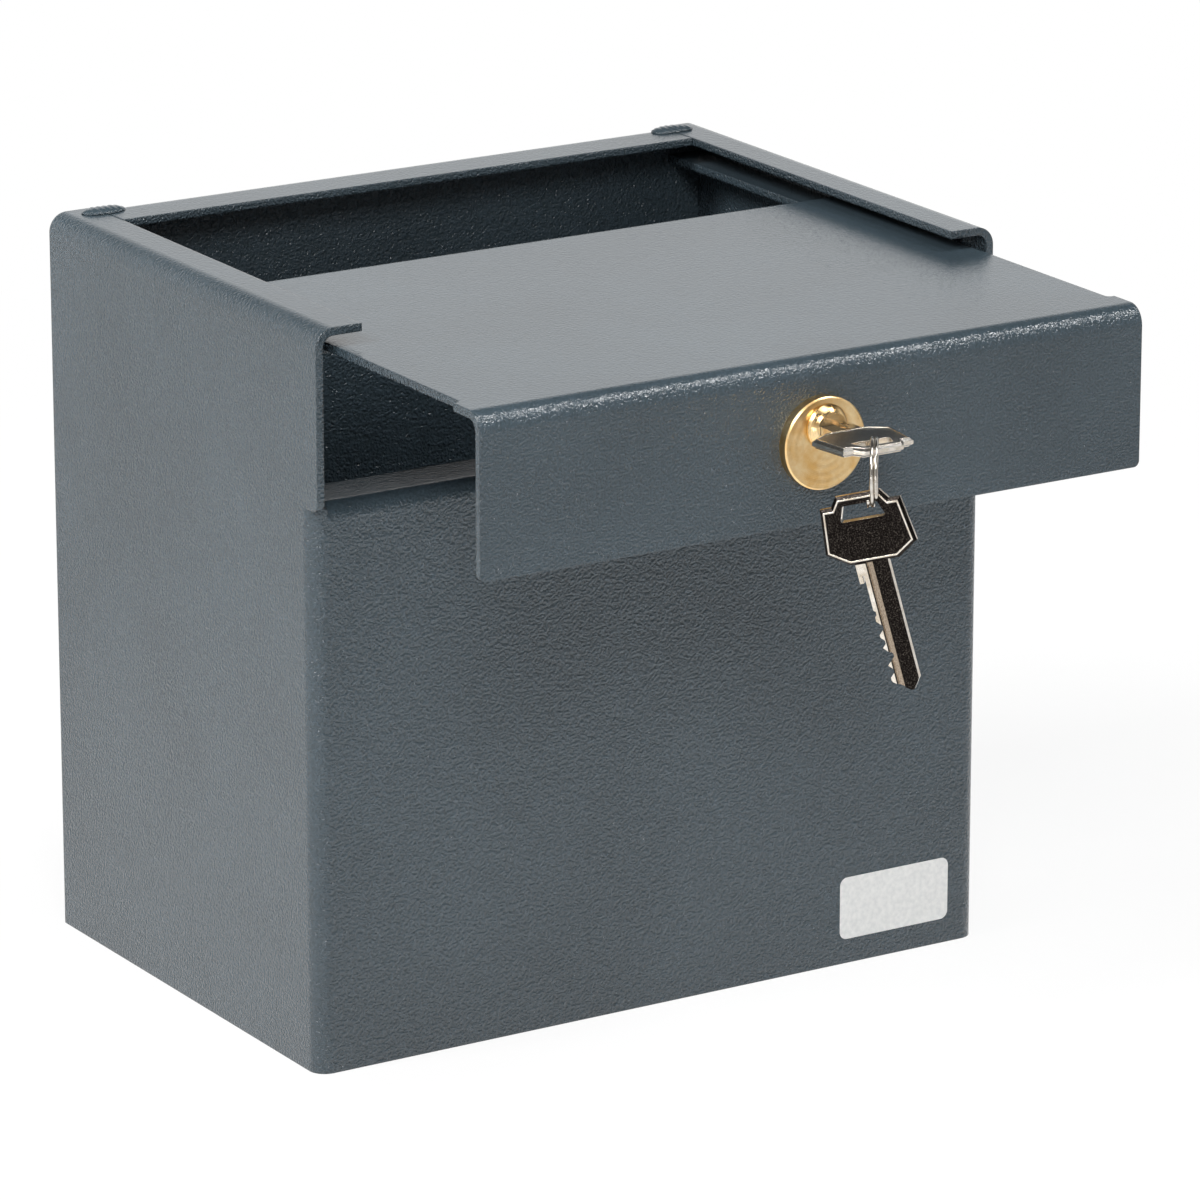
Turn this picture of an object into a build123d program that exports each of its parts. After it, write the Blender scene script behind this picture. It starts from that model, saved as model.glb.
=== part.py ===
from math import cos, pi, radians, sin, sqrt
import os

from build123d import *

os.makedirs("parts", exist_ok=True)

# Millimetres. +Z is up, the front panel faces -Y, +X is to the right.
# The origin is the centre of the box's underside.

# Folded box
box_width = 200.0
box_depth = 136.0
box_height = 194.0
sheet = 2.0
side_bend_radius = 4.5
top_bend_radius = 5.0
side_flange = 13.0
rear_flange = 16.0
front_drop = 45.5
front_bend_radius = 4.0
front_lip = 17.0
lip_end_gap = 0.5
wall_proud = 3.0
wall_nose_radius = 2.5
corner_relief = 1.0
seam_gap = 0.2
fit_gap = 0.1

# Base plate and its fixing holes
base_corner_radius = 3.0
fixing_hole_radius = 4.25
fixing_spacing_x = 140.0
fixing_spacing_y = 80.0

# Guide rails
rail_width = 10.0
rail_thickness = 2.0
rail_drop = 7.4
rail_front_setback = 7.0

# Welds
tack_radius = 2.0
tack_length = 14.0
corner_weld_length = 13.0
corner_weld_width = 7.0
corner_weld_height = 1.8
corner_weld_ease = 1.1

# Sliding lid
lid_opening = 70.7
lid_running_gap = 0.2
lid_end_gap = 1.0
lid_rear_side_gap = 4.0
lid_front_side_gap = 2.0
lid_front_section = 12.0
lid_overlap = 1.1
lid_bend_radius = 5.0
lid_shoulder_radius = 1.5
lid_corner_radius = 1.6

# Lock
lock_drop = 20.6
head_radius = 11.65
head_thickness = 2.8
head_chamfer = 0.4
barrel_radius = 9.5
barrel_flat = 8.35
barrel_hole_gap = 0.15
thread_gap = 0.05
plug_rise = 4.3
plug_radius = 4.5
plug_gap = 0.05
collar_radius = 5.8
collar_front_radius = 4.15
collar_length = 2.75
collar_rim = 0.7
collar_bulge = 0.26
lock_nut_flats = 24.0
lock_nut_thickness = 5.0
pin_radius = 1.2
pin_hole_radius = 1.3
pin_sides = 8
pin_tip_radius = 0.35
pin_taper = 45.0
pin_clearance = 0.05
driver_length = 4.0
chamber_plug_length = 1.0
chamber_plug_inset = 0.25
spring_radius = 1.1
spring_bore = 0.85
first_pin = 8.0
pin_pitch = 3.75
cut_depths = [0.5, 1.3, 0.9, 1.9, 1.2]

# Cam behind the lock
cam_thickness = 2.0
cam_width = 12.0
cam_reach = 30.0
cam_crank_start = 14.5
cam_crank_run = 4.0
cam_crank = 3.5
cam_end_radius = 2.0
tail_radius = 4.0
tail_flat = 3.0
tail_gap = 0.05
tail_spare = 0.5
washer_radius = 6.5
washer_thickness = 0.8
cam_nut_flats = 11.0
cam_nut_thickness = 3.0

# Keys
bow_length = 17.5
bow_top_half = 5.6
bow_step_half = 7.3
bow_step = 2.5
bow_outer_half = 10.1
bow_wide_half = 11.5
bow_wide_at = 14.0
bow_foot_half = 6.1
bow_thickness = 2.3
bow_edge_thickness = 0.9
bow_bevel = 0.75
rim_width = 0.4
rim_height = 0.15
slot_bar = 2.45
slot_length = 4.05
slot_outer_half = 4.3
slot_inner_half = 5.8
slot_corner_radius = 0.6
neck_length = 4.9
lug_reach = 1.5
lug_relief = 0.5
lug_relief_length = 2.0
blade_height = 6.8
blade_thickness = 2.0
blade_length = 28.5
blade_end_wall = 1.1
tip_length = 2.6
tip_step = 0.3
groove_width = 1.5
groove_depth = 0.65
groove_gap = 0.5
cut_floor = 0.8
keyway_gap = 0.12

# Split ring with the spare key hanging on it
ring_radius = 8.0
ring_wire = 1.0
ring_wire_sides = 8
ring_coil_gap = 0.02
ring_turns = 2
ring_heading = 53.9
ring_wire_end = 40.0
ring_x = -3.4
ring_seat_gap = 0.59
ring_bar_reach = 3.6
spare_tilt = 14.4
spare_heading = 44.6
spare_lean = 3.3
spare_offset = 3.0
spare_seat_gap = 0.45

# How far a cutting shape runs past the face that it cuts
past = 1.0

# Derived positions
half_width = box_width / 2
half_depth = box_depth / 2
wall_inner = half_width - sheet
front_face = -half_depth
front_inner = front_face + sheet
front_height = box_height - front_drop
rear_inner = half_depth - sheet
lip_edge = front_face + front_lip
wall_front = front_face - wall_proud
rail_top = box_height - rail_drop
lid_top = rail_top + lid_running_gap + sheet
lid_foot = front_height - lid_overlap
lid_front = wall_front - lid_opening
lid_rear = rear_inner - lid_end_gap - lid_opening
lid_rear_half = wall_inner - lid_rear_side_gap
lid_front_half = wall_inner - lid_front_side_gap
lock_z = lid_top - lock_drop
plug_z = lock_z + plug_rise
head_face = lid_front - head_thickness
collar_base = head_face - plug_gap
plug_face = collar_base - collar_length
barrel_end = plug_face + blade_length + blade_end_wall
blade_half = blade_height / 2
pin_stations = [first_pin + pin_pitch * i for i in range(len(cut_depths))]


def block(x, y, z):
    """Box between pairs of X, Y and Z values."""
    size = Box(x[1] - x[0], y[1] - y[0], z[1] - z[0])
    return Pos((x[0] + x[1]) / 2, (y[0] + y[1]) / 2, (z[0] + z[1]) / 2) * size


def rod_y(radius, y0, y1, x, z):
    """Cylinder along Y."""
    return Pos(x, (y0 + y1) / 2, z) * Rot(90, 0, 0) * Cylinder(radius, y1 - y0)


def rod_z(radius, z0, z1, x, y):
    """Cylinder along Z."""
    return Pos(x, y, (z0 + z1) / 2) * Cylinder(radius, z1 - z0)


def polygon(points):
    return make_face(Polyline(*points, close=True))


def rounded(section, corners):
    """Round a flat section's corners, each given as x, y and radius."""
    for x, y, radius in corners:
        nearest = section.vertices().sort_by_distance((x, y, 0))[0]
        section = fillet(nearest, radius)
    return section


def along_x(section, x0, x1):
    """Extrude a section drawn in Y and Z."""
    return extrude(Plane.YZ.offset(x0) * section, amount=x1 - x0)


def along_y(section, y0, y1):
    """Extrude a section drawn in X and Z."""
    place = Plane((0, y0, 0), x_dir=(1, 0, 0), z_dir=(0, -1, 0))
    return extrude(place * section, amount=-(y1 - y0))


def along_z(section, z0, z1):
    """Extrude a section drawn in X and Y."""
    return extrude(Plane.XY.offset(z0) * section, amount=z1 - z0)


def folded_strip(outer, top, edge, foot, bend):
    """Section of a sheet that stands at outer, bends over at top and ends at edge."""
    inward = sheet if edge > outer else -sheet
    inner = outer + inward
    under = top - sheet
    points = [(outer, foot), (outer, top), (edge, top), (edge, under), (inner, under), (inner, foot)]
    return rounded(polygon(points), [(outer, top, bend), (inner, under, bend - sheet)])


def both_sides(shape):
    return shape + mirror(shape, about=Plane.YZ)


def solids_of(shapes):
    """Separate solids kept together as one piece of the list."""
    return Compound(children=[solid for shape in shapes for solid in shape.solids()])


# The front panel and both side walls are one sheet, folded round the front corners
def wrap_section():
    x = half_width
    xi = wall_inner
    y = front_face
    yi = front_inner
    rear = half_depth
    outside = [(-x, rear), (-x, y), (x, y), (x, rear)]
    inside = [(xi, rear), (xi, yi), (-xi, yi), (-xi, rear)]
    section = polygon(outside + inside)
    outer = side_bend_radius
    inner = side_bend_radius - sheet
    return rounded(section, [(-x, y, outer), (x, y, outer), (xi, yi, inner), (-xi, yi, inner)])


def front_top_strip():
    """Bend along the front panel's top edge with its lip turned into the box."""
    y = front_face
    z = front_height
    foot = z - front_bend_radius - sheet
    section = folded_strip(y, z, lip_edge, foot, front_bend_radius)
    reach = half_width - side_bend_radius
    strip = along_x(section, -reach, reach)
    lip_half = wall_inner - lip_end_gap
    widening = lip_half - reach
    bend_end = y + front_bend_radius
    plan = polygon(
        [
            (-reach, bend_end),
            (-lip_half, bend_end + widening),
            (-lip_half, lip_edge),
            (lip_half, lip_edge),
            (lip_half, bend_end + widening),
            (reach, bend_end),
        ]
    )
    return strip + along_z(plan, z - sheet, z)


def side_wall_top(y0, y1, foot):
    """Upper part of the right side wall with its flange turned inward."""
    section = folded_strip(half_width, box_height, half_width - side_flange, foot, top_bend_radius)
    return along_y(section, y0, y1)


def front_and_side_sheet():
    corner_top = front_height - corner_relief
    bend_foot = front_height - front_bend_radius
    reach = half_width - side_bend_radius
    body = along_z(wrap_section(), 0, corner_top)
    body -= block((-reach, reach), (front_face - past, front_inner + past), (bend_foot, corner_top + past))
    body += front_top_strip()
    bend_start = front_face + side_bend_radius
    nose = side_wall_top(wall_front, bend_start, corner_top)
    lower_nose = nose.edges().filter_by(Axis.X).sort_by(lambda e: e.center().Y + e.center().Z)[0]
    nose = fillet(lower_nose, wall_nose_radius)
    body += both_sides(nose)
    body += both_sides(side_wall_top(bend_start, half_depth, corner_top - sheet))
    return body


def rear_wall():
    z = box_height
    bend_foot = z - top_bend_radius
    section = folded_strip(half_depth, z, half_depth - rear_flange, bend_foot - sheet, top_bend_radius)
    reach = half_width - side_flange - seam_gap
    body = along_x(section, -reach, reach)
    body += block((-wall_inner, wall_inner), (rear_inner, half_depth), (0, bend_foot))
    ear_top = z - sheet - fit_gap
    ear_outer = half_width - top_bend_radius - fit_gap
    ear_foot = wall_inner - fit_gap
    ear = polygon([(reach, bend_foot), (ear_foot, bend_foot), (ear_outer, ear_top), (reach, ear_top)])
    return body + both_sides(along_y(ear, rear_inner, half_depth))


def base_plate():
    x = wall_inner - fit_gap
    y = rear_inner - fit_gap
    front_corners = [(-x, -y, base_corner_radius), (x, -y, base_corner_radius)]
    plan = rounded(polygon([(-x, -y), (x, -y), (x, y), (-x, y)]), front_corners)
    plate = along_z(plan, 0, sheet)
    for x in (-fixing_spacing_x / 2, fixing_spacing_x / 2):
        for y in (-fixing_spacing_y / 2, fixing_spacing_y / 2):
            plate -= rod_z(fixing_hole_radius, -past, sheet + past, x, y)
    return plate


def guide_rail(side):
    inner = wall_inner - rail_width
    x = (inner, wall_inner) if side > 0 else (-wall_inner, -inner)
    y = (front_face + rail_front_setback, rear_inner - fit_gap)
    return block(x, y, (rail_top - rail_thickness, rail_top))


def tack(x_side, z_side):
    """Quarter-round weld bead along Y, centred on the origin, filling one corner."""
    bead = rod_y(tack_radius, -tack_length / 2, tack_length / 2, 0, 0)
    x = (0, 2 * tack_radius) if x_side > 0 else (-2 * tack_radius, 0)
    z = (0, 2 * tack_radius) if z_side > 0 else (-2 * tack_radius, 0)
    return bead & block(x, (-tack_length, tack_length), z)


def rail_tack_welds():
    """Three beads under each guide rail, where it meets the side wall."""
    z = rail_top - rail_thickness
    stations = [-0.3 * box_depth, 0.05 * box_depth, 0.4 * box_depth]
    beads = [Pos(side * wall_inner, y, z) * tack(-side, -1) for side in (-1, 1) for y in stations]
    return solids_of(beads)


def base_tack_welds():
    """Beads on the base plate's rim, two along each wall."""
    beads = []
    for end in (-1, 1):
        for side in (-1, 1):
            beads.append(Pos(side * wall_inner, end * box_depth / 4, sheet) * tack(-side, 1))
            turned = Rot(0, 0, 90) * tack(-side, 1)
            beads.append(Pos(end * box_width / 4, side * rear_inner, sheet) * turned)
    return solids_of(beads)


def rear_tack_welds():
    """Upright beads inside, where the rear wall meets the side walls."""
    beads = []
    for z in (0.15 * box_height, 0.5 * box_height, 0.82 * box_height):
        for side in (-1, 1):
            upright = Rot(90, 0, 0) * tack(-side, 1)
            beads.append(Pos(side * wall_inner, rear_inner, z) * upright)
    return solids_of(beads)


def rear_corner_welds():
    """Rounded beads closing the seams between side and rear flanges."""
    beads = []
    y = rear_inner - corner_weld_width / 2
    for side in (-1, 1):
        bead = along_z(SlotOverall(corner_weld_length, corner_weld_width), 0, corner_weld_height)
        bead = chamfer(bead.faces().sort_by(Axis.Z)[-1].edges(), corner_weld_ease)
        beads.append(Pos(side * (half_width - side_flange), y, box_height) * bead)
    return solids_of(beads)


# Barrel section: a circle with two flats, drawn in X and Z
def barrel_section(gap):
    disc = Circle(barrel_radius + gap)
    return disc & Rectangle(2 * (barrel_flat + gap), 4 * barrel_radius)


def lid():
    section = folded_strip(lid_front, lid_top, lid_rear, lid_foot, lid_bend_radius)
    body = along_x(section, -lid_front_half, lid_front_half)
    shoulder = lid_front + lid_front_section
    inner = lid_rear_half
    notch = block((inner, wall_inner), (shoulder, lid_rear + past), (lid_foot, lid_top + past))
    corner = notch.edges().filter_by(Axis.Z).sort_by_distance((inner, shoulder, lid_top))[0]
    body -= both_sides(fillet(corner, lid_shoulder_radius))
    lowest = body.edges().filter_by(Axis.Y).group_by(Axis.Z)[0]
    body = fillet(lowest, lid_corner_radius)
    hole = along_y(barrel_section(barrel_hole_gap), lid_front - past, lid_front + sheet + past)
    return body - Pos(0, 0, lock_z) * hole


def turned_about_y(points, z):
    """Turned piece from a profile of radius and Y values, on an axis at height z."""
    return Pos(0, 0, z) * revolve(polygon(points), Axis.Y)


def pin_rod(radius, z0, z1, station):
    """Upright many-sided rod at one of the pin stations; its corners lie on the radius."""
    section = RegularPolygon(radius, pin_sides)
    return Pos(0, plug_face + station, 0) * along_z(section, z0, z1)


def lock_body():
    rim = head_radius - head_chamfer
    front = head_face + head_chamfer
    side = [(0, lid_front), (head_radius, lid_front), (head_radius, front)]
    head = turned_about_y(side + [(rim, head_face), (0, head_face)], lock_z)
    body = head + Pos(0, 0, lock_z) * along_y(barrel_section(0), lid_front, barrel_end)
    body -= rod_y(plug_radius + plug_gap, head_face - past, barrel_end + past, 0, plug_z)
    for station in pin_stations:
        body -= pin_rod(pin_hole_radius, lock_z - 2 * barrel_radius, plug_z, station)
    return body


def hex_nut(flats, thickness, bore, y, z):
    """Hexagonal nut along Y with its corners eased."""
    corner = flats / 2 / cos(pi / 6)
    blank = along_y(RegularPolygon(corner, 6), y, y + thickness)
    blank &= rod_y((corner + flats / 2) / 2, y, y + thickness, 0, 0)
    return Pos(0, 0, z) * (blank - rod_y(bore, y - past, y + thickness + past, 0, 0))


def lock_nut():
    bore = barrel_radius + thread_gap
    return hex_nut(lock_nut_flats, lock_nut_thickness, bore, lid_front + sheet, lock_z)


def chamber_floor():
    return lock_z - barrel_radius + chamber_plug_inset


def driver_top():
    return plug_z - plug_radius - 2 * plug_gap


def chamber_plugs():
    z = chamber_floor()
    return solids_of([pin_rod(pin_hole_radius, z, z + chamber_plug_length, s) for s in pin_stations])


def pin_springs():
    """Plain sleeves standing for the small coil springs under the driver pins."""
    z0 = chamber_floor() + chamber_plug_length
    z1 = driver_top() - driver_length
    sleeves = []
    for station in pin_stations:
        bore = pin_rod(spring_bore, z0 - past, z1 + past, station)
        sleeves.append(pin_rod(spring_radius, z0, z1, station) - bore)
    return solids_of(sleeves)


def driver_pins():
    z1 = driver_top()
    return solids_of([pin_rod(pin_radius, z1 - driver_length, z1, s) for s in pin_stations])


# The plug, its pins, the key and the cam are drawn locked, with the key's cuts down,
# and turned a quarter about the plug's axis to the unlocked rest position
def to_rest(shape):
    return Pos(0, 0, plug_z) * Rot(0, -90, 0) * Pos(0, 0, -plug_z) * shape


def blade_section(gap):
    """Blade seen from the tip: height along X with the cut edge at -X, thickness along Y."""
    x = blade_half + gap
    y = blade_thickness / 2 + gap
    section = Rectangle(2 * x, 2 * y)
    width = groove_width - 2 * gap
    depth = groove_depth - gap
    centre = groove_gap + groove_width / 2
    reach = 2 * y
    for side in (-1, 1):
        groove = Rectangle(width, reach)
        section -= Pos(-side * centre, side * (y + reach / 2 - depth - gap)) * groove
    return section


def key_place(shape):
    """Key drawn flat, moved to the plug with its lug on the plug's face and its cuts down."""
    shoulder = bow_length + neck_length
    return Plane((0, plug_face - shoulder, plug_z), x_dir=(0, 0, 1), z_dir=(-1, 0, 0)) * shape


def blade_bar(gap, y0, y1):
    """Grooved blade blank along Y in the key's own drawing."""
    section = Plane((0, y0, 0), x_dir=(1, 0, 0), z_dir=(0, 1, 0)) * blade_section(gap)
    return extrude(section, amount=y1 - y0)


def plug():
    rim = collar_base - collar_rim
    profile = Polyline((collar_front_radius, plug_face), (0, plug_face), (0, collar_base))
    profile += Polyline((0, collar_base), (collar_radius, collar_base), (collar_radius, rim))
    shoulder = ((collar_radius + collar_front_radius) / 2 + collar_bulge, (rim + plug_face) / 2)
    profile += ThreePointArc((collar_radius, rim), shoulder, (collar_front_radius, plug_face))
    body = Pos(0, 0, plug_z) * revolve(make_face(profile), Axis.Y)
    body += rod_y(plug_radius, collar_base, barrel_end, 0, plug_z)
    tail_end = barrel_end + tail_length()
    tail = Circle(tail_radius) & Rectangle(2 * tail_flat, 4 * tail_radius)
    body += Pos(0, 0, plug_z) * along_y(tail, barrel_end, tail_end)
    shoulder = bow_length + neck_length
    keyway_end = shoulder + blade_length + 3 * keyway_gap
    body -= key_place(blade_bar(keyway_gap, shoulder - past, keyway_end))
    for station in pin_stations:
        body -= pin_rod(pin_hole_radius, plug_z - 2 * plug_radius, plug_z, station)
    return to_rest(body)


def tail_length():
    return fit_gap + cam_thickness + washer_thickness + cam_nut_thickness + tail_spare


def key_pins():
    """Bottom pins resting on the key's cuts, their outer ends just inside the plug's surface."""
    rim_reach = plug_radius - pin_clearance
    outer = sqrt(rim_reach * rim_reach - pin_radius * pin_radius)
    pins = []
    for station, depth in zip(pin_stations, cut_depths):
        tip = blade_half - depth + pin_clearance
        cone = tip + pin_radius - pin_tip_radius
        pin = pin_rod(pin_radius, plug_z - outer, plug_z - cone, station)
        wide = Plane.XY.offset(plug_z - cone) * RegularPolygon(pin_radius, pin_sides)
        point = Pos(0, plug_face + station, 0) * extrude(wide, amount=cone - tip, taper=pin_taper)
        pins.append(to_rest(pin + point))
    return solids_of(pins)


def lock_cam():
    """Flat arm with a forward crank that reaches behind the front lip when locked."""
    y0 = barrel_end + fit_gap
    y1 = y0 + cam_thickness
    crank_end = cam_crank_start + cam_crank_run
    top = cam_width / 2
    half = cam_width / 2
    lift = cam_thickness * 0.35
    section = polygon(
        [
            (y0, plug_z + top),
            (y0, plug_z - cam_crank_start),
            (y0 - cam_crank, plug_z - crank_end),
            (y0 - cam_crank, plug_z - cam_reach),
            (y1 - cam_crank, plug_z - cam_reach),
            (y1 - cam_crank, plug_z - crank_end - lift + cam_thickness * 0.7),
            (y1, plug_z - cam_crank_start + lift),
            (y1, plug_z + top),
        ]
    )
    arm = along_x(section, -half, half)
    outline = polygon([(-half, -cam_reach), (half, -cam_reach), (half, 0), (-half, 0)])
    outline = rounded(outline, [(-half, -cam_reach, cam_end_radius), (half, -cam_reach, cam_end_radius)])
    outline = outline + Circle(half)
    arm &= Pos(0, 0, plug_z) * along_y(outline, y0 - 2 * cam_crank, y1 + past)
    hole = Circle(tail_radius + tail_gap) & Rectangle(2 * (tail_flat + tail_gap), 4 * tail_radius)
    arm -= Pos(0, 0, plug_z) * along_y(hole, y0 - past, y1 + past)
    return to_rest(arm)


def cam_washer():
    y = barrel_end + fit_gap + cam_thickness
    bore = tail_radius + thread_gap
    ring = rod_y(washer_radius, y, y + washer_thickness, 0, plug_z)
    return ring - rod_y(bore, y - past, y + washer_thickness + past, 0, plug_z)


def cam_nut():
    y = barrel_end + fit_gap + cam_thickness + washer_thickness
    return hex_nut(cam_nut_flats, cam_nut_thickness, tail_radius + thread_gap, y, plug_z)


# Key, drawn flat: X across with the cut edge at -X, Y from the bow's outer edge to the tip
def bow_points():
    right = [
        (bow_top_half, 0),
        (bow_step_half, bow_step),
        (bow_outer_half, bow_step),
        (bow_wide_half, bow_wide_at),
        (bow_foot_half, bow_length),
    ]
    left = [(-x, y) for x, y in reversed(right)]
    return right + left


def inset(points, distance):
    """Outline moved inward by a distance, corner by corner, on points given anticlockwise."""
    moved = []
    count = len(points)
    for i in range(count):
        before = Vector(*points[i - 1])
        here = Vector(*points[i])
        after = Vector(*points[(i + 1) % count])
        first = (here - before).normalized()
        second = (after - here).normalized()
        bisector = Vector(-first.Y - second.Y, first.X + second.X).normalized()
        reach = distance / bisector.dot(Vector(-first.Y, first.X))
        moved.append((here.X + bisector.X * reach, here.Y + bisector.Y * reach))
    return moved


def key_bow():
    outline = bow_points()
    edge = bow_edge_thickness / 2
    face = bow_thickness / 2 - rim_height
    body = along_z(polygon(outline), -edge, edge)
    face_outline = inset(outline, bow_bevel)
    rim = polygon(face_outline) - polygon(inset(outline, bow_bevel + rim_width))
    for side in (-1, 1):
        wide = Plane.XY.offset(side * edge) * polygon(outline)
        narrow = Plane.XY.offset(side * face) * polygon(face_outline)
        body += loft([wide, narrow], ruled=True)
        low, high = sorted((side * face, side * (face + rim_height)))
        body += along_z(rim, low, high)
    slot_far = slot_bar + slot_length
    right = [(slot_outer_half, slot_bar), (slot_inner_half, slot_far)]
    left = [(-x, y) for x, y in reversed(right)]
    slot = polygon(right + left)
    slot = fillet(slot.vertices(), slot_corner_radius)
    return body - along_z(slot, -bow_thickness, bow_thickness)


def key_shape():
    start = bow_length - 1.5 * bow_bevel
    shoulder = bow_length + neck_length
    tip = shoulder + blade_length
    back = blade_half
    front = -blade_half
    half = blade_thickness / 2
    lug = front - lug_reach
    plan = polygon(
        [
            (lug, start),
            (back, start),
            (back, tip - tip_length),
            (back - 0.7 * tip_length, tip),
            (back - tip_length, tip),
            (front + tip_step, tip - tip_length),
            (front, tip - 1.2 * tip_length),
            (front, shoulder - lug_relief_length),
            (front - lug_relief, shoulder - lug_relief_length),
            (front - lug_relief, shoulder),
            (lug, shoulder),
        ]
    )
    blade = along_z(plan, -half, half)
    lug_zone = block((lug - past, front), (start, shoulder + past), (-half, half))
    blade &= blade_bar(0, start, tip + past) + lug_zone
    for station, depth in zip(pin_stations, cut_depths):
        at = shoulder + station
        floor = cut_floor / 2
        mouth = floor + depth + past
        lower = [(front - past, at - mouth), (front + depth, at - floor)]
        upper = [(front + depth, at + floor), (front - past, at + mouth)]
        blade -= along_z(polygon(lower + upper), -half - past, half + past)
    return key_bow() + blade


def key_in_lock():
    return to_rest(key_place(key_shape()))


# Directions of the ring and the spare key
def ring_along():
    return Vector(cos(radians(ring_heading)), sin(radians(ring_heading)), 0)


def ring_axis():
    return Vector(sin(radians(ring_heading)), -cos(radians(ring_heading)), 0)


def ring_centre():
    """Centre from the bar of the bow that the ring hangs on: the wire clears its inner upper edge."""
    bar_edge = plug_face - bow_length - neck_length + slot_bar
    inner = ring_radius - ring_wire / 2 - ring_seat_gap
    rise = sqrt(inner * inner - ring_bar_reach * ring_bar_reach)
    y = bar_edge - ring_bar_reach * ring_along().Y
    return Vector(ring_x, y, plug_z + bow_thickness / 2 - rise)


def key_ring():
    """Split ring, two turns of wire lying side by side, the wire drawn with many flat sides."""
    pitch = ring_wire + ring_coil_gap
    height = pitch * ring_turns
    path = Pos(0, 0, -height / 2) * Helix(pitch, height, ring_radius)
    start = Plane(origin=path @ 0, z_dir=path % 0)
    section = start * RegularPolygon(ring_wire / 2, ring_wire_sides)
    wire = Rot(0, 0, ring_wire_end) * sweep(section, path=path, is_frenet=True)
    place = Plane(ring_centre(), x_dir=-ring_along(), z_dir=ring_axis())
    return place * wire


def spare_axes():
    """Across and along directions of the spare key as it hangs."""
    heading = radians(spare_heading)
    tilt = radians(spare_tilt)
    lean = radians(spare_lean)
    level = Vector(sin(heading), -cos(heading), 0)
    facing = Vector(cos(heading), sin(heading), 0)
    down = Vector(0, 0, -1) * cos(lean) + facing * sin(lean)
    across = level * cos(tilt) - down * sin(tilt)
    along = level * sin(tilt) + down * cos(tilt)
    return across, along


def spare_key():
    across, along = spare_axes()
    low_wire = ring_centre() + Vector(0, 0, -ring_radius)
    slot_edge = ring_wire / 2 + spare_seat_gap + ring_wire * sin(radians(spare_tilt)) / 2
    origin = low_wire - across * spare_offset - along * (slot_bar + slot_edge)
    place = Plane(origin, x_dir=across, z_dir=across.cross(along))
    return place * key_shape()


pieces = {
    "front_and_side_sheet": front_and_side_sheet(),
    "rear_wall": rear_wall(),
    "base_plate": base_plate(),
    "guide_rail_left": guide_rail(-1),
    "guide_rail_right": guide_rail(1),
    "rail_tack_welds": rail_tack_welds(),
    "base_tack_welds": base_tack_welds(),
    "rear_tack_welds": rear_tack_welds(),
    "rear_corner_welds": rear_corner_welds(),
    "lid": lid(),
    "lock_body": lock_body(),
    "lock_nut": lock_nut(),
    "driver_pins": driver_pins(),
    "pin_springs": pin_springs(),
    "chamber_plugs": chamber_plugs(),
    "lock_plug": plug(),
    "key_pins": key_pins(),
    "lock_cam": lock_cam(),
    "cam_washer": cam_washer(),
    "cam_nut": cam_nut(),
    "key_in_lock": key_in_lock(),
    "key_ring": key_ring(),
    "spare_key": spare_key(),
}

for name, shape in pieces.items():
    export_step(shape, "parts/" + name + ".step")
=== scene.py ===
# %% [markdown]
# # A small steel car safe with its lid drawn out
#
# The scene dresses a finished CAD model.

import math

import bmesh
import bpy
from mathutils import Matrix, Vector, noise


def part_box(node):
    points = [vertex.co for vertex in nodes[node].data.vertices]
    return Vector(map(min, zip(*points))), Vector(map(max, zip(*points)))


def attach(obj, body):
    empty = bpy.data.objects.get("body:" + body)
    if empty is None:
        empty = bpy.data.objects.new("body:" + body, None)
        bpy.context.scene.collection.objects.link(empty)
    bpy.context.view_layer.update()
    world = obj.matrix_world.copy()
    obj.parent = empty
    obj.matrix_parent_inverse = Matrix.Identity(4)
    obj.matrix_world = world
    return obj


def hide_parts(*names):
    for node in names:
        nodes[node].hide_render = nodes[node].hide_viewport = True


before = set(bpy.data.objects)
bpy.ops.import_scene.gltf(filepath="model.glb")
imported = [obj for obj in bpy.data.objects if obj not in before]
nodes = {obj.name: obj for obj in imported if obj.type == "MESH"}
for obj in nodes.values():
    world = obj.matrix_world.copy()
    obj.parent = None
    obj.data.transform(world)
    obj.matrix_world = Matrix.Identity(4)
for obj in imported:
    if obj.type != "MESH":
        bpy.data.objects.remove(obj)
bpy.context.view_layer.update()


def rounded(values, digits=4):
    return [round(value, digits) for value in values]


# %% [markdown]
# Lengths read better in millimetres, and colours in the sRGB values that a picture shows.
# A shader wants linear light, so one function turns a hex colour into linear red, green, blue.

# %% Units and colour
MM = 0.001


def linear(hex_colour):
    """Linear red, green, blue and alpha of an sRGB hex colour."""
    parts = [int(hex_colour[i : i + 2], 16) / 255 for i in (1, 3, 5)]
    parts = [c / 12.92 if c <= 0.04045 else ((c + 0.055) / 1.055) ** 2.4 for c in parts]
    return (*parts, 1.0)


print("mid grey in linear light:", round(linear("#808080")[0], 3))

# %% [markdown]
# A material is a small graph of nodes. `add` makes one node and gives one of its outputs back,
# which can go straight into the next node. Values without a name fill the inputs in order: a
# Map Range node, for one, takes a value, the span it lies in and the span it goes to. A name
# with a capital is an input, and `i6` is the input numbered 6, for nodes that have several
# inputs of one name. Any other name is a setting, and stops are the colours of a ramp.

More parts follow.
